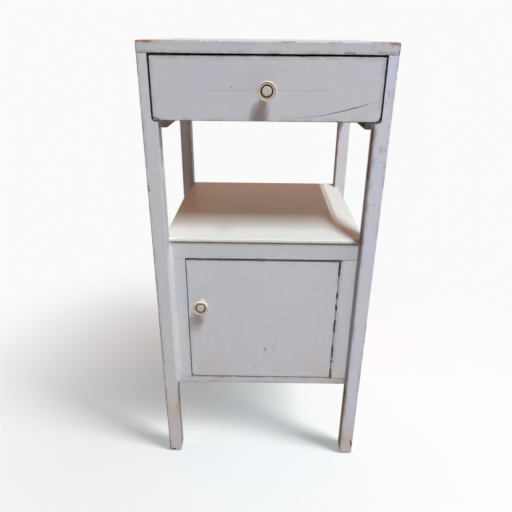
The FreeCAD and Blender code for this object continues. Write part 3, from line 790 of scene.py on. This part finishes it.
# The continuous hinge: two folded steel leaves with alternate knuckles round one pin, painted over
# with the door. The paint has flaked off the knuckles' left side down to dark steel.
hinge_front = rail_face - 0.0025
dark_steel = ("#1d1715", "#0d0a09")
flaked = [((0.1362, hinge_front, upper), (0.1364, hinge_front, lower), 0.0016, 1.0) for upper, lower in torn]
flaked.append(((0.1365, hinge_front, 0.4322), (0.1405, hinge_front, 0.4322), 0.0011, 1.0))
open_joint = [
    ((0.1360, hinge_front, 0.4328), (0.1360, hinge_front, 0.1760), 0.0008, 0.85),
    ((0.1405, hinge_front, 0.4328), (0.1404, hinge_front, 0.3980), 0.0006, 0.75),
    ((0.1404, hinge_front, 0.2560), (0.1402, hinge_front, 0.2240), 0.0005, 0.50),
]
for name in ("hinge_leaf_door", "hinge_leaf_frame"):
    painted(
        name, along_z, 0.0, grime=0.0, chips=flaked, cracks=open_joint, bare=dark_steel, stray=0.003,
    )


# Old bare metal: a soft shine, dulled and browned by tarnish in spots of about 3 mm.
def metal(name, bright, tarnish, roughness):
    """Old bare metal, tarnished in spots."""
    finish = bpy.data.materials.new(name)
    finish.use_nodes = True
    tree = finish.node_tree
    spot = add(tree, "ShaderNodeTexCoord").outputs["Object"]
    spots = add(tree, "ShaderNodeTexNoise", spot, 1 / 0.003, 4.0, 0.6)
    mask = add(tree, "ShaderNodeMapRange", spots, 0.42, 0.66, 0.0, 1.0)
    colour = add(tree, "ShaderNodeMix", mask, linear(bright), linear(tarnish), data_type="RGBA")
    dull = add(tree, "ShaderNodeMapRange", spots, 0.3, 0.7, roughness, roughness + 0.25)
    surface = surfaced(tree, colour.outputs[2], dull.outputs[0])
    surface.inputs["Metallic"].default_value = 1.0
    return finish


steel = metal("old_mild_steel", "#a9a6a0", "#5f554c", 0.36)
nodes["hinge_pin"].material_slots[0].material = steel


# The bullet catch: a brass barrel let into the door's edge, with a sprung plunger that snaps into
# a brass strike plate on the frame's stile.
brass = metal("dull_brass", "#c9a35c", "#80622f", 0.30)
for name in ("catch_barrel", "catch_plunger", "catch_strike"):
    nodes[name].material_slots[0].material = brass

# Its spring is wound from steel wire; on the real catch it shortens as the plunger goes in.
points_per_turn = 24
wire_sides = 10
winding = bpy.data.node_groups.new("wound_spring", "GeometryNodeTree")
sockets(winding, "INPUT", {
    "Turns": "Float",
    "Coil radius": "Float",
    "Wire radius": "Float",
    "Length": "Float",
    "Plunger end": "Vector",
    "Wire": "Material",
})
sockets(winding, "OUTPUT", {"Geometry": "Geometry"})
asked = add(winding, "NodeGroupInput").outputs
helix = add(
    winding, "GeometryNodeCurveSpiral",
    points_per_turn, asked["Turns"], asked["Coil radius"], asked["Coil radius"], asked["Length"],
)
helix = add(winding, "GeometryNodeTransform", helix, asked["Plunger end"], (0.0, pi / 2, 0.0))
section = add(winding, "GeometryNodeCurvePrimitiveCircle", wire_sides)
winding.links.new(asked["Wire radius"], section.inputs["Radius"])
wire = add(winding, "GeometryNodeCurveToMesh", helix, section)
wire.inputs["Fill Caps"].default_value = True
wire = add(winding, "GeometryNodeRealizeInstances", wire)
wire = add(winding, "GeometryNodeSetMaterial", wire, None, asked["Wire"])
add(winding, "NodeGroupOutput", wire)


def made(piece, tree, wanted):
    """Turns what a Geometry Nodes tree gives for the wanted inputs into the piece's plain mesh."""
    modifier = piece.modifiers.new("made", "NODES")
    modifier.node_group = tree
    for socket in tree.interface.items_tree:
        if socket.in_out == "INPUT" and socket.name in wanted:
            modifier[socket.identifier] = wanted[socket.name]
    evaluated = piece.evaluated_get(bpy.context.evaluated_depsgraph_get())
    whole = bpy.data.meshes.new_from_object(evaluated)
    piece.modifiers.clear()
    piece.data = whole


wire_radius = 0.00035
spring_play = 0.00005
spring_low, spring_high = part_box("catch_spring")
spring_axis = (spring_low + spring_high) / 2
spring_start = spring_low.x + wire_radius + spring_play
spring = placed("wound_spring", bpy.data.meshes.new("wound_spring"))
made(spring, winding, {
    "Turns": 3.0,
    "Coil radius": 0.0026,
    "Wire radius": wire_radius,
    "Length": spring_high.x - wire_radius - spring_start,
    "Plunger end": (spring_start, spring_axis.y, spring_axis.z),
    "Wire": steel,
})
for face in spring.data.polygons:
    face.use_smooth = len(face.vertices) == 4
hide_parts("catch_spring")
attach(spring, "door")
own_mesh(spring)


# Screws and nails: slotted steel screw heads in the hinge leaves, in the strike plate and behind the
# knobs, and nails through the drawer's sides and the cupboard's back. Each lies on what it holds.
head_sides = 20
rim_share = 0.72
slot_share = 2.4
spin_seed = 7
fixings = bpy.data.node_groups.new("screw_and_nail_heads", "GeometryNodeTree")
sockets(fixings, "INPUT", {
    "Geometry": "Geometry",
    "Head radius": "Float",
    "Head height": "Float",
    "Slot width": "Float",
    "Slotted": "Bool",
    "Facing": "Rotation",
    "Metal": "Material",
})
sockets(fixings, "OUTPUT", {"Geometry": "Geometry"})
asked = add(fixings, "NodeGroupInput").outputs
rim_radius = add(fixings, "ShaderNodeMath", asked["Head radius"], rim_share, operation="MULTIPLY")
head = add(
    fixings, "GeometryNodeMeshCone",
    head_sides, 1, 1, rim_radius, asked["Head radius"], asked["Head height"],
).outputs["Mesh"]
slot_length = add(fixings, "ShaderNodeMath", asked["Head radius"], slot_share, operation="MULTIPLY")
slot_size = add(fixings, "ShaderNodeCombineXYZ", slot_length, asked["Slot width"], asked["Head height"])
slot_lift = add(fixings, "ShaderNodeCombineXYZ", 0.0, 0.0, asked["Head height"])
cutter = add(fixings, "GeometryNodeMeshCube", slot_size).outputs["Mesh"]
cutter = add(fixings, "GeometryNodeTransform", cutter, slot_lift)
slotted = add(fixings, "GeometryNodeMeshBoolean", head, cutter, operation="DIFFERENCE")
head = add(fixings, "GeometryNodeSwitch", asked["Slotted"], head, slotted, input_type="GEOMETRY")
spin = add(fixings, "FunctionNodeRandomValue", 0.0, pi, None, spin_seed, data_type="FLOAT")
spin = add(fixings, "ShaderNodeCombineXYZ", 0.0, 0.0, spin)
turn = add(fixings, "FunctionNodeRotateRotation", spin, asked["Facing"], rotation_space="GLOBAL")
spots_at = add(fixings, "GeometryNodeMeshToPoints", asked["Geometry"])
heads = add(fixings, "GeometryNodeInstanceOnPoints", spots_at, None, head, None, None, turn)
heads = add(fixings, "GeometryNodeRealizeInstances", heads)
heads = add(fixings, "GeometryNodeSetMaterial", heads, None, asked["Metal"])
add(fixings, "NodeGroupOutput", heads)


def fixed(name, body, spots, facing, size, finish):
    """Screw or nail heads at the spots, facing away from what they hold.

    Their size is a radius, a height and a slot's width in metres; a nail's slot is 0 wide."""
    head_radius, head_height, slot_width = size
    mesh = bpy.data.meshes.new(name)
    mesh.from_pydata(spots, [], [])
    piece = placed(name, mesh)
    made(piece, fixings, {
        "Head radius": head_radius,
        "Head height": head_height,
        "Slot width": slot_width,
        "Slotted": slot_width > 0,
        "Facing": Vector((0.0, 0.0, 1.0)).rotation_difference(Vector(facing)).to_euler(),
        "Metal": finish,
    })
    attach(piece, body)


# Five screws to a hinge leaf, with paint in their slots, on the side of the leaf away from its wood.
clogged_steel = metal("paint_clogged_steel", "#8b867f", "#4d453e", 0.45)
leaf_screw = (0.0024, 0.0005, 0.0007)
leaf_thick = 0.001
screw_spacing = 0.056
door_leaf, frame_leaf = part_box("hinge_leaf_door"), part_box("hinge_leaf_frame")
leaf_depth = door_leaf[1].y - 0.005
leaf_middle = (door_leaf[0].z + door_leaf[1].z) / 2
for name, body, x, facing in (
    ("hinge_screws_frame", "carcass", frame_leaf[1].x - leaf_thick, (-1, 0, 0)),
    ("hinge_screws_door", "door", door_leaf[0].x + leaf_thick, (1, 0, 0)),
):
    spots = [(x, leaf_depth, leaf_middle + screw_spacing * i) for i in range(-2, 3)]
    fixed(name, body, spots, facing, leaf_screw, clogged_steel)

strike_screw = (0.0019, 0.0003, 0.0006)
strike_low, strike_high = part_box("catch_strike")
strike_middle = (strike_low + strike_high) / 2
strike_spread = 0.0139
spots = [(strike_high.x, strike_middle.y, strike_middle.z + side * strike_spread) for side in (-1, 1)]
fixed("strike_screws", "carcass", spots, (1, 0, 0), strike_screw, steel)

knob_screw = (0.0042, 0.0018, 0.0010)
for knob, board, body in (("door_knob", "door_panel", "door"), ("drawer_knob", "drawer_front", "drawer")):
    spot = (knob_foot[knob].x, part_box(board)[1].y, knob_foot[knob].z)
    fixed(knob + "_screw", body, [spot], (0, 1, 0), knob_screw, steel)

drawer_nail = (0.0016, 0.0003, 0.0)
nail_depth = (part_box("drawer_back")[0].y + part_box("drawer_back")[1].y) / 2
for name, x, facing in (
    ("drawer_nails_left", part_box("drawer_side_left")[0].x, (-1, 0, 0)),
    ("drawer_nails_right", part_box("drawer_side_right")[1].x, (1, 0, 0)),
):
    fixed(name, "drawer", [(x, nail_depth, z) for z in (0.703, 0.729, 0.755)], facing, drawer_nail, steel)

back_nail = (0.0017, 0.0004, 0.0)
nail_spacing = 0.050
back_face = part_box("cupboard_back")[1].y
floor_level = (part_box("cupboard_floor")[0].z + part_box("cupboard_floor")[1].z) / 2
spots = [(nail_spacing * i, back_face, floor_level) for i in range(-3, 4)]
fixed("cupboard_back_nails", "carcass", spots, (0, 1, 0), back_nail, steel)


# The room: a plain white floor that keeps a soft shadow, two ceiling tubes to the front right, a lamp
# for the floor alone, a weak window from the right, warm light from behind and above, and low cool
# fills behind and to the left.
floor_size = 6.0
floor_mesh = bpy.data.meshes.new("floor")
floor_corners = [(floor_size * x, floor_size * y, 0.0) for x, y in ((-1, -1), (1, -1), (1, 1), (-1, 1))]
floor_mesh.from_pydata(floor_corners, [], [(0, 1, 2, 3)])
floor = placed("floor", floor_mesh)
white = linear("#fafafa")


def looked_at(tree):
    """1 where the eye looks straight at the surface or sees it in metal or glass, or else 0."""
    seen = add(tree, "ShaderNodeLightPath").outputs
    direct = add(tree, "ShaderNodeMath", seen["Is Camera Ray"], seen["Is Glossy Ray"], operation="MAXIMUM")
    return add(tree, "ShaderNodeMath", direct, seen["Is Transmission Ray"], operation="MAXIMUM")


# Seamless paper: matt, with the stand's shadow near its middle, fading to an even white further out.
shadow_kept, all_white = 0.15, 0.95
sheet = bpy.data.materials.new("white_seamless_paper")
sheet.use_nodes = True
tree = sheet.node_tree
tree.nodes.clear()
direct = looked_at(tree)
spot = add(tree, "ShaderNodeTexCoord").outputs["Object"]
from_stand = add(tree, "ShaderNodeVectorMath", spot, operation="LENGTH").outputs["Value"]
fade = add(
    tree, "ShaderNodeMapRange", from_stand, shadow_kept, all_white, 0.0, 1.0,
    interpolation_type="SMOOTHSTEP",
)
lit = add(tree, "ShaderNodeBsdfDiffuse", linear("#d0d0d0"))
glow = add(tree, "ShaderNodeEmission", linear("#798e95"), 1.0)
near = add(tree, "ShaderNodeAddShader", lit, glow)
far = add(tree, "ShaderNodeEmission", white, 1.0)
shown = add(tree, "ShaderNodeMixShader", fade, near, far)
bounced = add(tree, "ShaderNodeBsdfDiffuse", linear("#ccc5bf"))
both = add(tree, "ShaderNodeMixShader", direct, bounced, shown)
add(tree, "ShaderNodeOutputMaterial", both)
floor_mesh.materials.append(sheet)
floor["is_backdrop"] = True

room = bpy.data.worlds.new("room")
bpy.context.scene.world = room
room.use_nodes = True
tree = room.node_tree
tree.nodes.clear()
direct = looked_at(tree)
heading = add(tree, "ShaderNodeTexCoord").outputs["Generated"]
rearward = add(tree, "ShaderNodeSeparateXYZ", heading).outputs["Y"]
rearward = add(tree, "ShaderNodeMapRange", rearward, -0.3, 0.3, 0.0, 1.0)
around = add(tree, "ShaderNodeMix", rearward, linear("#282020"), linear("#d08248"), data_type="RGBA")
warm = add(tree, "ShaderNodeBackground", around, 1.0)
backdrop = add(tree, "ShaderNodeBackground", white, 1.0)
both = add(tree, "ShaderNodeMixShader", direct, warm, backdrop)
add(tree, "ShaderNodeOutputWorld", both)


def lamp(name, position, aim, wide, high, colour, power):
    """A rectangular soft lamp at position that shines on aim, in metres and watts."""
    data = bpy.data.lights.new(name, "AREA")
    data.shape = "RECTANGLE"
    data.size = wide
    data.size_y = high
    data.color = linear(colour)[:3]
    data.energy = power
    light = placed(name, data)
    light.rotation_mode = "QUATERNION"
    light.rotation_quaternion = (Vector(aim) - Vector(position)).to_track_quat("-Z", "Y")
    light.location = position
    return light


def lit_pieces(name, pieces, state):
    """A light-linking group that takes in, or leaves out, the pieces."""
    group = bpy.data.collections.new(name)
    for piece in pieces:
        group.objects.link(piece)
    for entry in group.collection_objects:
        entry.light_linking.link_state = state
    return group


# The tubes light the face frame and the door past the right leg, whose shadow on the real stand
# hardly reaches them; everything else is in its shadow as usual. They leave out the floor: its own
# lamp lays the stand's shadow to the left.
face_pieces = [nodes[name] for name in (
    "frame_stile_right", "frame_top_rail", "frame_bottom_rail",
    "door_panel", "hinge_leaf_door", "hinge_leaf_frame",
)]
on_face = lit_pieces("face_of_cupboard", face_pieces, "INCLUDE")
off_face = lit_pieces("all_but_face_and_floor", face_pieces + [floor], "EXCLUDE")
past_leg = lit_pieces("past_right_leg", [legs["leg_front_right"]], "EXCLUDE")
tube_y = -2.63
tube_high = 5.0
tube_aim = (0.0, tube_y, 0.45)
for name, x in (("left_ceiling_tube", 1.163), ("right_ceiling_tube", 1.382)):
    for part, receivers in (("", off_face), ("_on_face", on_face)):
        tube = lamp(name + part, (x, tube_y, tube_high), tube_aim, 2.10, 0.06, "#eaf6ff", 178.0)
        tube.light_linking.receiver_collection = receivers
        if receivers is on_face:
            tube.light_linking.blocker_collection = past_leg
floor_light = lamp("floor_light", (3.0, -1.35, 3.0), (0.0, 0.0, 0.0), 1.3, 2.8, "#ffffff", 240.0)
floor_light.light_linking.receiver_collection = lit_pieces("floor_alone", [floor], "INCLUDE")
lamp("right_window", (4.2, -2.2, 1.8), (0.0, 0.0, 0.45), 2.5, 2.5, "#ffffff", 18.0)
rear_fill = lamp("rear_fill", (0.0, 2.6, 0.28), (0.0, 0.0, 0.28), 3.0, 0.20, "#bcefff", 34.0)
left_fill = lamp("left_fill", (-2.6, 0.9, 0.28), (0.0, 0.1, 0.28), 1.6, 0.20, "#d2f2ff", 22.0)
for fill in (rear_fill, left_fill):
    fill.visible_camera = False
    fill.visible_glossy = False


# The camera: close in front of the stand, just above the height of its top, looking down at it with
# a wide lens and leaning very slightly to one side.
camera_place = (-0.00658, -0.92926, 0.7967)
swing, tilt, lean = radians(0.529), radians(65.444), radians(0.56)
camera_data = bpy.data.cameras.new("camera")
camera_data.sensor_width = 36.0
camera_data.lens = 33.907
camera = placed("camera", camera_data)
camera.matrix_world = (
    Matrix.Translation(camera_place)
    @ Matrix.Rotation(swing, 4, "Z")
    @ Matrix.Rotation(tilt, 4, "X")
    @ Matrix.Rotation(lean, 4, "Z")
)
bpy.context.scene.camera = camera

low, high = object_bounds()
